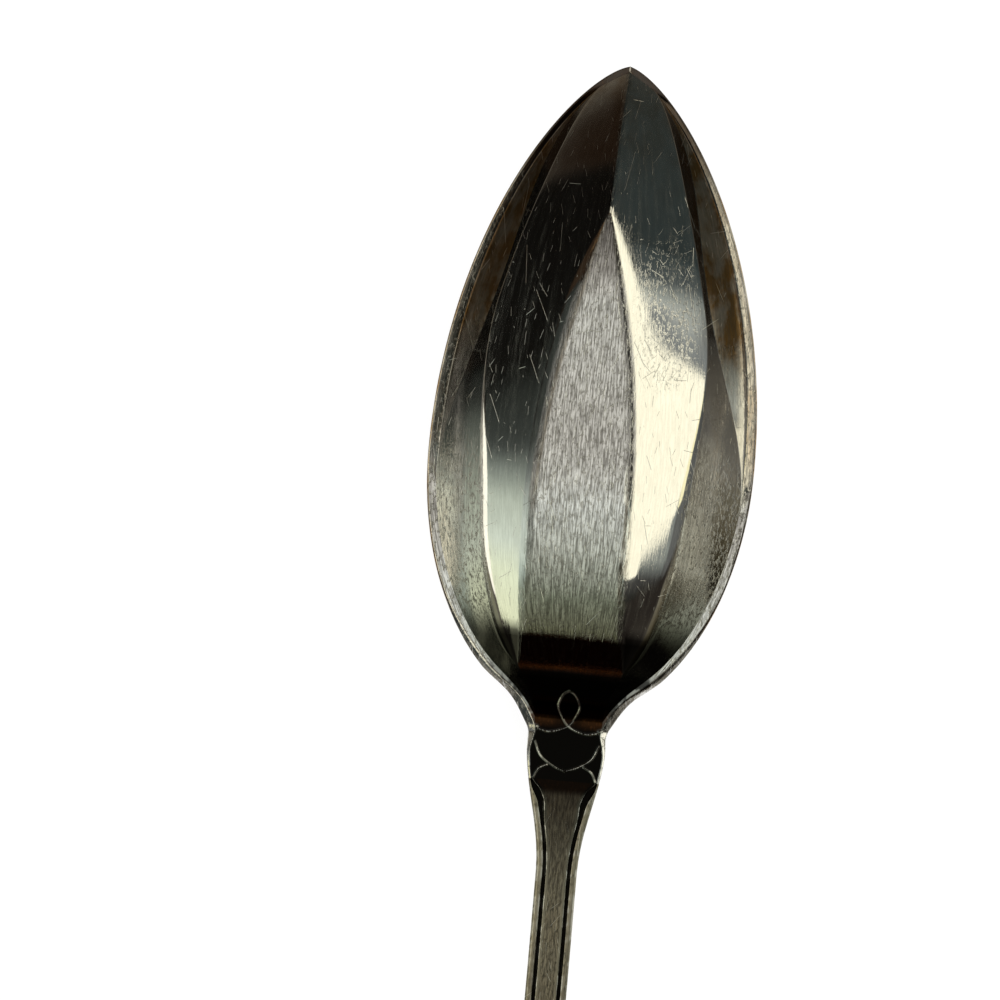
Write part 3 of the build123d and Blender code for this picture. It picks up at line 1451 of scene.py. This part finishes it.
    def sides(self, s: float) -> list[Side]:
        """Sides of a half cross-section with their wear and painted shade, in the order of its
        corners.

        Args:
            s: Place along the spoon.

        Returns:
            The middle panel, floor, wall, crescent, rim, bevel, edge and the back's three panels.
        """
        tip = self.tip_tarnish.at(s)
        black = self.tip_black.at(s)
        ramp = self.ramp_painted_shade.at(s)
        floor = self.floor_painted_shade.at(s)
        wall_shade = self.wall_painted_shade.at(s)
        # the wall carries the painted shade at the hollow's back, and a haze at its front
        haze = max(wall_shade, self.wall_haze.at(s))
        pits = self.wall_pits.at(s)
        brush = self.wall_brush.at(s)
        bronze = self.crescent_bronze.at(s)
        dull = self.rim_dull.at(s)
        ground = self.shoulder_ground.at(s)
        rough = 1.0 - ground
        edge_worn = 0.3 * (1.0 - black) + 0.4 * ground
        # the middle panel, floor and walls carry painted shade towards the hollow's back
        return [
            Side(self.middle_steps, tarnish=0.02 + tip, patina_and_shade=ramp, pits=0.6, brush=1.0),
            Side(12, tarnish=0.04 + tip, patina_and_shade=floor, pits=0.05, brush=0.2),
            Side(12, tarnish=0.04 + 0.6 * tip, patina_and_shade=haze, pits=pits, brush=brush),
            Side(6, tarnish=bronze, patina_and_shade=wall_shade, pits=0.2, brush=0.3),
            Side(3, tarnish=dull, patina_and_shade=black, worn=0.4 * ground, pits=1.0, brush=1.0),
            Side(4, tarnish=0.8 * rough, patina_and_shade=black, worn=0.8 * ground, pits=0.8),
            Side(3, tarnish=0.3 * rough, patina_and_shade=black, worn=edge_worn),
            Side(10, tarnish=0.25, pits=0.2),
            Side(12, tarnish=0.2, pits=0.2),
            Side(14, tarnish=0.15, pits=0.2),
        ]

    def finish_top(self, spot: Spot, inner: Sequence[float], bevel_start: float) -> None:
        """Sag the floor panels a little, cut the ornament and darken the neck with painted shade.

        Args:
            spot: Spot of the top, which is changed.
            inner: Creases of the hollow.
            bevel_start: Inner edge of the ground bevel.
        """
        if inner[0] < spot.x < inner[1] and spot.s < self.form.oval_end:
            half = (inner[1] - inner[0]) / 2.0
            spot.z -= self.floor_sag * (half**2 - (spot.x - inner[0] - half) ** 2)
        if spot.x < bevel_start:
            depth, share = self.ornament.cut(spot.x, spot.s)
            shade = self.form.painted_shade(spot.s)
            ember = self.ember_start.at(spot.s) * self.ember_end.at(spot.s)
            # painted shade: the top is painted near black, except on the engraved lines
            spot.patina_and_shade = max(spot.patina_and_shade, shade * (1.0 - share))
            spot.tarnish = spot.tarnish * (1.0 - shade) + ember * self.ember_aside.at(spot.x)
            spot.worn = max(spot.worn, self.engraving_worn * share)
            spot.z -= depth


@dataclass
class Bowl(Blade):
    """The pointed, panelled bowl with its ground rim."""

    end: float = 54.2
    tip_length: float = 6.0
    tip_rings: int = 36
    tip_power: float = 1.7
    step: float = 0.45
    ornament_start: float = 51.0
    ornament_step: float = 0.065

    def rings(self) -> list[list[Spot]]:
        """Half cross-sections from the tip to the neck, closer together at both.

        Returns:
            Their spots.
        """
        shares = [i / self.tip_rings for i in range(self.tip_rings)]
        tip = [self.tip_length * share**self.tip_power for share in shares]
        body = evenly(self.tip_length, self.ornament_start, self.step)
        fine = evenly(self.ornament_start, self.end, self.ornament_step)
        return [self.half_ring(s) for s in tip + body + fine[1:]]


@dataclass
class Neck(Blade):
    """The flat, engraved neck behind the shoulders."""

    start: float = 54.2
    end: float = 58.6
    step: float = 0.065

    def rings(self) -> list[list[Spot]]:
        """Half cross-sections from the bowl to the handle."""
        return [self.half_ring(s) for s in evenly(self.start, self.end, self.step)]


@dataclass
class Handle(Piece):
    """The threaded stem and the handle with its rounded end."""

    start: float = 58.6
    lead: float = 64.0
    lead_step: float = 0.12
    step: float = 0.9
    fan: int = 28
    border: Change = Change(0.10, 0.56, 58.6, 2.0)
    groove: Change = Change(0.30, 0.62, 58.6, 0.8)
    groove_narrowing: Change = Change(0.0, -0.31, 59.3, 3.0)
    groove_depth: Change = Change(0.0, 0.25, 58.6, 0.3)
    groove_side: float = 0.07
    groove_round: float = 0.06
    edge_round: float = 0.08
    foot_round: float = 0.2
    back_round: float = 0.3
    panel_lead: float = 0.2
    panel_steps: int = 14
    wall_least: float = 0.05
    wall_clear: float = 0.15
    back_lead: float = 0.1
    # painted shade on the handle's top, darkest by the neck
    shade: Change = Change(0.85, 0.0, 58.6, 14.0)
    panel_tarnish: float = 0.12
    under_tarnish: float = 0.2

    def edge_point(self, s: float, angle: float, inset: float) -> tuple[float, float]:
        """Place across and along the spoon at an inset from its outline.

        Args:
            s: Place along the spoon where the ray starts on the mid-plane.
            angle: Turn of the ray round the rounded end, 0 where it points sideways.
            inset: Distance inside the outline.

        Returns:
            The place.
        """
        if angle == 0.0:
            return self.form.stem_half_width(s) - inset, s
        half = self.form.end_width / 2.0
        return (half - inset) * cos(angle), s + (self.form.end_round - inset) * sin(angle)

    def thread(self, s: float) -> tuple[float, float, float]:
        """Insets of the groove's outer and inner edges, and its depth.

        Args:
            s: Place along the spoon.

        Returns:
            The three distances.
        """
        border = self.border.at(s)
        width = self.groove.at(s) + self.groove_narrowing.at(s)
        return border, border + width, self.groove_depth.at(s)

    def half_ring(self, s: float, angle: float) -> list[Spot]:
        """Half section along a ray, from the mid-plane out over the edge and back underneath.

        Args:
            s: Place along the spoon where the ray starts.
            angle: Turn of the ray round the rounded end.

        Returns:
            Its spots.
        """
        form = self.form
        # painted shade on the top, from the neck's fade and from the handle's own
        dark = max(form.painted_shade(s), self.shade.at(s))
        spots = []
        for inset, drop, side in soften(self.corners(s, angle), self.sides(dark)):
            x, along = self.edge_point(s, angle, -inset)
            height = form.top(along) + drop
            spots.append(Spot(x, along, height, side.tarnish, side.patina_and_shade, side.worn, side.pits))
        first, last = spots[0], spots[-1]
        first.z = form.top(first.s)
        last.z = form.underside(last.s)
        panel = []
        under = []
        for k in range(self.panel_steps):
            share = k / self.panel_steps
            along = s + (first.s - s) * share
            height = form.top(along)
            spot = Spot(first.x * share, along, height, self.panel_tarnish, dark)
            panel.append(replace(spot, pits=1.0, brush=1.0))
            share = 1.0 - share - 1.0 / self.panel_steps
            along = s + (last.s - s) * share
            under.append(Spot(last.x * share, along, form.underside(along), self.under_tarnish))
        return panel + spots + under

    def corners(self, s: float, angle: float) -> list[Corner]:
        """Corners of the half section outside the flat panel, as insets and heights.

        Args:
            s: Place along the spoon where the ray starts.
            angle: Turn of the ray round the rounded end.

        Returns:
            The corners, from the panel's edge over the groove and the border to the back.
        """
        form = self.form
        border, inner, depth = self.thread(s)
        bevel_in, bevel_drop = form.bevel_foot(s)
        foot_in, foot_drop = form.edge_foot(s)
        edge = self.edge_point(s, angle, 0.0)[1]
        thick = form.top(edge) - form.underside(edge)
        spread_out = form.edge_height(s) * form.edge_spread()
        wall_end = max(thick / form.wall_slope - spread_out, foot_in + self.wall_least)
        wall_end = min(wall_end, form.stem_half_width(s) - self.wall_clear)
        wall_drop = min(form.wall_slope * (wall_end + spread_out), thick)
        return [
            Corner(-inner - self.panel_lead, 0.0),
            Corner(-inner, 0.0, self.groove_round, worn=1.0),
            Corner(-inner + self.groove_side, -depth, self.groove_round),
            Corner(-border - self.groove_side, -depth, self.groove_round),
            Corner(-border, 0.0, self.groove_round, worn=0.6),
            Corner(-max(form.bevel(s), bevel_in), 0.0, self.groove_round),
            Corner(-bevel_in, -bevel_drop, self.edge_round),
            Corner(-foot_in, -foot_drop, self.foot_round),
            Corner(-wall_end, -wall_drop, self.back_round),
            Corner(-wall_end - self.back_lead, -max(wall_drop, thick)),
        ]

    def sides(self, dark: float) -> list[Side]:
        """Sides of the half section with their wear and painted shade, in the order of its corners.

        Args:
            dark: How dark the panel's painted shade is.

        Returns:
            The panel's edge, the groove's three sides, border, bevel, edge and back.
        """
        return [
            Side(3, patina_and_shade=dark),
            Side(2, patina_and_shade=0.7, worn=0.4),
            Side(3, patina_and_shade=1.0),
            Side(2, patina_and_shade=0.8, worn=0.3),
            Side(3, tarnish=0.1, worn=0.1, pits=0.8),
            Side(3, worn=0.5),
            Side(4, tarnish=0.1, worn=0.1),
            Side(5, tarnish=0.25),
            Side(2, tarnish=0.25),
        ]

    def rings(self) -> list[list[Spot]]:
        """Half sections along the stem and handle, and then along rays round its end.

        Returns:
            Their spots.
        """
        straight = evenly(self.start, self.lead, self.lead_step)
        straight += evenly(self.lead, self.form.swell_end, self.step)[1:]
        result = [self.half_ring(s, 0.0) for s in straight]
        for k in range(1, self.fan + 1):
            result.append(self.half_ring(self.form.swell_end, pi / 2.0 * k / self.fan))
        for spot in result[-1]:
            spot.x = 0.0
        return result


@dataclass(frozen=True)
class SkyPatch:
    """A part of the studio that the silver mirrors: a window, a card or a dark flag.

    Its place is given in degrees from straight up: to the right, and ahead towards the spoon's tip.
    """

    side: tuple[float, float]
    ahead: tuple[float, float]
    colour: Colour = (0.0, 0.0, 0.0)
    soft: float = 0.05
    shape: PatchShape = PatchShape.BOX
    lean: float = 0.0
    fade: tuple[tuple[float, Colour], ...] = ()

    def mask(self, side: Shade, ahead: Shade) -> Shade:
        """Where the patch covers the surroundings.

        Args:
            side: Angle of the ray to the right.
            ahead: Angle of the ray towards the tip.

        Returns:
            A value that is 1 inside the patch.
        """
        power = self.shape.value
        upright = side - ahead * self.lean if self.lean else side
        parts = []
        for angle, (low, high) in ((upright, self.side), (ahead, self.ahead)):
            share = abs(angle - (low + high) / 2.0) * (2.0 / (high - low))
            parts.append(share**power)
        outside = (1.0 + self.soft) ** power
        inside = max(1.0 - self.soft, 0.0) ** power
        return (parts[0] + parts[1]).step(outside, inside)

    def tone(self, book: NodeBook, ahead: Shade) -> Shade | Colour:
        """Colour of the patch, which may fade from one end to the other.

        Args:
            book: Node tree to add to.
            ahead: Angle of the ray towards the tip.

        Returns:
            The colour.
        """
        if not self.fade:
            return self.colour
        low = self.fade[0][0]
        run = self.fade[-1][0] - low
        stops = [((angle - low) / run, colour) for angle, colour in self.fade]
        return book.add("ShaderNodeValToRGB", {"stops": stops}, {0: (ahead - low) / run})


# What the silver mirrors. A later patch covers those before it.
SKY: tuple[SkyPatch, ...] = (
    SkyPatch((38.0, 62.0), (-70.0, -46.0), (0.016, 0.009, 0.005), 0.6, PatchShape.OVAL),
    SkyPatch((-62.0, -28.0), (-70.0, -14.0), (0.030, 0.040, 0.040), 0.5, PatchShape.OVAL),
    SkyPatch((-92.0, -56.0), (42.0, 94.0), soft=0.05, fade=(
        (42.0, (0.18, 0.165, 0.125)), (52.0, (0.18, 0.165, 0.12)), (62.0, (0.12, 0.105, 0.07)),
        (72.0, (0.07, 0.06, 0.035)), (84.0, (0.012, 0.009, 0.004)),
    )),
    SkyPatch((68.0, 97.0), (62.0, 97.0), (0.22, 0.22, 0.15), 0.2),
    SkyPatch((20.0, 70.0), (-46.0, -3.0), (0.004, 0.0035, 0.003), 0.1),
    SkyPatch((17.5, 36.0), (-18.0, -4.0), (0.030, 0.018, 0.010), 0.15),
    SkyPatch((16.5, 24.0), (-18.0, -12.0), (0.14, 0.085, 0.04), 0.2),
    SkyPatch((22.0, 36.5), (-5.0, 57.0), soft=0.02, fade=(
        (-5.0, (0.02, 0.022, 0.02)), (-1.5, (0.04, 0.045, 0.04)), (2.7, (0.18, 0.20, 0.185)),
        (7.0, (0.38, 0.42, 0.38)), (11.0, (0.50, 0.56, 0.50)), (14.0, (0.60, 0.67, 0.60)),
        (20.0, (0.66, 0.74, 0.66)), (26.0, (0.66, 0.75, 0.66)), (33.0, (0.50, 0.59, 0.52)),
        (40.0, (0.30, 0.35, 0.28)), (57.0, (0.22, 0.23, 0.15)),
    )),
    SkyPatch((17.5, 24.5), (-4.0, 9.0), soft=0.06, fade=(
        (-4.0, (0.05, 0.05, 0.045)), (-1.0, (0.19, 0.19, 0.175)), (4.0, (0.34, 0.33, 0.30)),
        (9.0, (0.40, 0.40, 0.35)),
    )),
    SkyPatch((11.0, 22.0), (9.0, 56.3), soft=0.02, fade=(
        (9.0, (0.38, 0.37, 0.32)), (13.0, (0.36, 0.38, 0.35)), (27.0, (0.27, 0.29, 0.24)),
        (41.0, (0.24, 0.26, 0.19)), (56.0, (0.14, 0.145, 0.085)),
    )),
    SkyPatch((11.0, 17.5), (-19.0, 9.0), soft=0.02, fade=(
        (-19.0, (0.08, 0.08, 0.075)), (-8.0, (0.25, 0.23, 0.19)), (-1.0, (0.34, 0.31, 0.255)),
        (6.0, (0.33, 0.31, 0.25)), (9.0, (0.38, 0.37, 0.32)),
    )),
    SkyPatch((0.5, 11.0), (-15.0, 56.3), soft=0.012, fade=(
        (-15.0, (0.12, 0.11, 0.10)), (-4.0, (0.42, 0.40, 0.37)), (1.0, (0.76, 0.75, 0.70)),
        (8.0, (0.90, 0.94, 0.89)), (25.0, (0.58, 0.62, 0.54)), (41.0, (0.25, 0.28, 0.205)),
        (50.0, (0.19, 0.20, 0.135)), (56.0, (0.13, 0.135, 0.075)),
    )),
    SkyPatch((-5.3, 0.5), (-20.0, 46.0), soft=0.02, fade=(
        (-20.0, (0.03, 0.03, 0.025)), (-8.0, (0.14, 0.13, 0.11)), (-3.0, (0.36, 0.35, 0.32)),
        (1.5, (0.36, 0.35, 0.32)), (4.0, (0.28, 0.26, 0.21)), (18.0, (0.34, 0.325, 0.26)),
        (23.0, (0.46, 0.46, 0.39)), (27.0, (0.13, 0.12, 0.085)), (38.0, (0.06, 0.055, 0.035)),
        (46.0, (0.01, 0.01, 0.006)),
    )),
    SkyPatch((0.0, 2.3), (25.0, 42.0), (0.09, 0.08, 0.05), 0.2),
    SkyPatch((-0.5, 2.6), (1.8, 7.0), (1.15, 1.15, 0.98), 0.15),
    SkyPatch((-14.0, -5.3), (-10.0, 46.0), soft=0.02, fade=(
        (-10.0, (0.07, 0.068, 0.06)), (0.5, (0.02, 0.021, 0.019)), (6.0, (0.10, 0.12, 0.107)),
        (10.0, (0.60, 0.67, 0.60)), (13.0, (1.15, 1.22, 1.02)), (18.0, (1.05, 1.15, 1.02)),
        (25.0, (1.05, 1.18, 1.08)), (32.0, (0.5, 0.62, 0.56)), (38.0, (0.10, 0.10, 0.06)),
        (46.0, (0.02, 0.02, 0.012)),
    )),
    SkyPatch((-8.0, 30.0), (56.3, 66.5), (0.012, 0.003, 0.001), 0.01),
    SkyPatch((-8.0, 30.0), (65.9, 66.3), (0.5, 0.15, 0.03), 0.3),
    SkyPatch((57.0, 77.0), (0.0, 54.0), (1.4, 1.37, 1.18), 0.05),
    SkyPatch((36.0, 59.3), (-5.0, 67.0), soft=0.02, fade=(
        (-5.0, (0.02, 0.023, 0.02)), (-1.5, (0.06, 0.068, 0.062)), (2.5, (0.25, 0.285, 0.25)),
        (11.0, (0.58, 0.65, 0.55)), (24.0, (0.76, 0.85, 0.73)), (37.0, (0.92, 1.0, 0.75)),
        (67.0, (0.96, 1.0, 0.68)),
    )),
    SkyPatch((-52.0, -33.0), (-24.0, -4.0), soft=0.06, fade=(
        (-24.0, (0.04, 0.053, 0.053)), (-16.0, (0.085, 0.10, 0.10)),
        (-11.0, (0.34, 0.37, 0.34)), (-7.0, (0.62, 0.65, 0.60)), (-4.0, (0.8, 0.8, 0.7)),
    )),
    SkyPatch((-82.0, -44.0), (-10.0, 32.0), (0.14, 0.145, 0.14), 0.2),
    SkyPatch((-50.0, -16.0), (-8.0, 40.0), soft=0.05, lean=0.28, fade=(
        (-8.0, (0.22, 0.24, 0.24)), (25.0, (0.28, 0.305, 0.28)), (29.0, (0.15, 0.165, 0.155)),
        (33.0, (0.055, 0.055, 0.053)), (40.0, (0.015, 0.015, 0.013)),
    )),
    SkyPatch((-57.0, -46.5), (-5.0, 9.0), (1.25, 1.18, 0.74), 0.1),
    SkyPatch((-14.0, -9.6), (-7.0, 3.0), (0.62, 0.60, 0.53), 0.1),
    SkyPatch((-34.2, -14.0), (-36.0, 27.0), (1.33, 1.28, 1.02), 0.02, lean=-0.125),
    SkyPatch((-48.0, -16.0), (-6.3, 11.0), (1.33, 1.28, 1.02), 0.02, lean=0.5),
    SkyPatch((-43.7, -13.0), (-6.3, 31.0), (1.33, 1.28, 1.02), 0.02, lean=0.28),
)


@dataclass(frozen=True)
class Studio:
    """Floor, surroundings, lamps and camera."""

    floor_radius: float = 7.0
    floor_segments: int = 96
    floor_tone: Colour = (0.86, 0.86, 0.86)
    floor_glow: float = 0.86
    zenith: Colour = (0.022, 0.018, 0.015)
    horizon: Colour = (0.20, 0.185, 0.15)
    haze: tuple[float, float] = (0.05, 0.6)
    patches: tuple[SkyPatch, ...] = SKY
    lamp_size: float = 1.4
    lamp_height: float = 1.0
    lamp_power: float = 24.0
    eye: tuple[float, float, float] = (-25.75, 41.8, 270.16)
    roll: float = 4.03
    pitch: float = -0.69
    turn: float = -5.55
    lens: float = 115.92
    sensor: float = 36.0
    clip: tuple[float, float] = (0.01, 20.0)

    def build(self) -> None:
        """Make the whole studio."""
        self.floor()
        self.surroundings()
        self.lamp()
        self.camera()

    def floor(self) -> None:
        """Pale floor under the spoon, which reaches past the edges of any picture."""
        slab = bmesh.new()
        segments = self.floor_segments
        bmesh.ops.create_circle(slab, cap_ends=True, radius=self.floor_radius, segments=segments)
        mesh = bpy.data.meshes.new("studio_floor")
        slab.to_mesh(mesh)
        slab.free()
        mesh.materials.append(self.floor_material())
        show("studio_floor", mesh)

    def floor_material(self) -> bpy.types.Material:
        """White paper that is seen and mirrored as white, and still takes the spoon's shadow.

        Returns:
            The material.
        """
        material, book = new_material("studio_paper")
        seen = book.add("ShaderNodeLightPath", {}, {}, "Is Camera Ray")
        seen = seen + book.other(seen, "Is Glossy Ray") + book.other(seen, "Is Transmission Ray")
        paper = book.add("ShaderNodeBsdfDiffuse", {}, {"Color": self.floor_tone})
        glow = book.add("ShaderNodeEmission", {}, {"Color": (1.0, 1.0, 1.0), "Strength": 1.0})
        share = seen.least(1.0) * self.floor_glow
        both = book.add("ShaderNodeMixShader", {}, {0: share, 1: paper, 2: glow})
        book.add("ShaderNodeOutputMaterial", {}, {"Surface": both})
        return material

    def surroundings(self) -> None:
        """Dim room with the windows and cards that the silver mirrors."""
        world = bpy.data.worlds.new("studio")
        world.use_nodes = True
        bpy.context.scene.world = world
        book = NodeBook(world.node_tree)
        ray = book.add("ShaderNodeTexCoord", {}, {}, "Generated")
        across = book.add("ShaderNodeSeparateXYZ", {}, {0: ray})
        along = book.other(across, 1)
        height = book.other(across, 2)
        side, ahead = (part.math("ARCTAN2", height) * degrees(1.0) for part in (across, along))
        colour = book.mix(height.step(*self.haze), self.horizon, self.zenith)
        for patch in self.patches:
            colour = book.mix(patch.mask(side, ahead), colour, patch.tone(book, ahead))
        light = book.add("ShaderNodeBackground", {}, {"Color": colour, "Strength": 1.0})
        book.add("ShaderNodeOutputWorld", {}, {"Surface": light})

    def lamp(self) -> None:
        """Soft overhead lamp for the floor and its shadow, which the silver doesn't mirror."""
        light = bpy.data.lights.new("floor_lamp", "AREA")
        light.shape = "DISK"
        light.size = self.lamp_size
        light.energy = self.lamp_power
        lamp = show("floor_lamp", light)
        lamp.location = (0.0, 0.0, self.lamp_height)
        lamp.visible_camera = False
        lamp.visible_glossy = False

    def camera(self) -> None:
        """Camera at the photograph's viewing angle."""
        roll, pitch, turn = (radians(angle) for angle in (self.roll, self.pitch, self.turn))
        ahead = Vector((sin(roll) * cos(pitch), sin(pitch), -cos(roll) * cos(pitch)))
        level = ahead.cross(Vector((0.0, 1.0, 0.0))).normalized()
        upright = level.cross(ahead)
        right = level * cos(turn) - upright * sin(turn)
        up = level * sin(turn) + upright * cos(turn)
        lens = bpy.data.cameras.new("camera")
        lens.lens = self.lens
        lens.sensor_width = self.sensor
        lens.clip_start, lens.clip_end = self.clip
        camera = show("camera", lens)
        axes = Matrix((right, up, -ahead)).transposed().to_4x4()
        camera.matrix_world = Matrix.Translation(Vector(self.eye) * MM) @ axes
        bpy.context.scene.camera = camera


def main() -> None:
    """Build the studio and the spoon's pieces, and report each piece."""
    logging.basicConfig(level=logging.INFO, format="%(name)s: %(message)s")
    bpy.context.scene.view_settings.view_transform = "Standard"
    Studio().build()
    form = SpoonForm()
    ornament = Ornament()
    polished = SilverFinish("polished_silver")
    # the neck's finish is the polished one; its dark top is painted shade carried by the mesh's
    # attributes
    shaded_neck = SilverFinish("shaded_neck_silver")
    satin = SilverFinish(
        "satin_silver",
        tone=(0.33, 0.30, 0.225),
        mottle_tone=(0.05, 0.045, 0.037),
        brush_tone=(0.10, 0.09, 0.07),
        polish=0.22,
        veil=0.6,
        mottle=0.95,
        brush=replace(polished.brush, scale=(15.0, 0.9, 0.0)),
    )
    pieces: tuple[Piece, ...] = (
        Bowl(form, ornament, "bowl", polished),
        Neck(form, ornament, "neck", shaded_neck),
        Handle(form, ornament, "handle", satin),
    )
    for piece in pieces:
        made = piece.build()
        LOG.info("%s: %d faces", made.name, len(made.data.polygons))


if __name__ == "__main__":
    main()
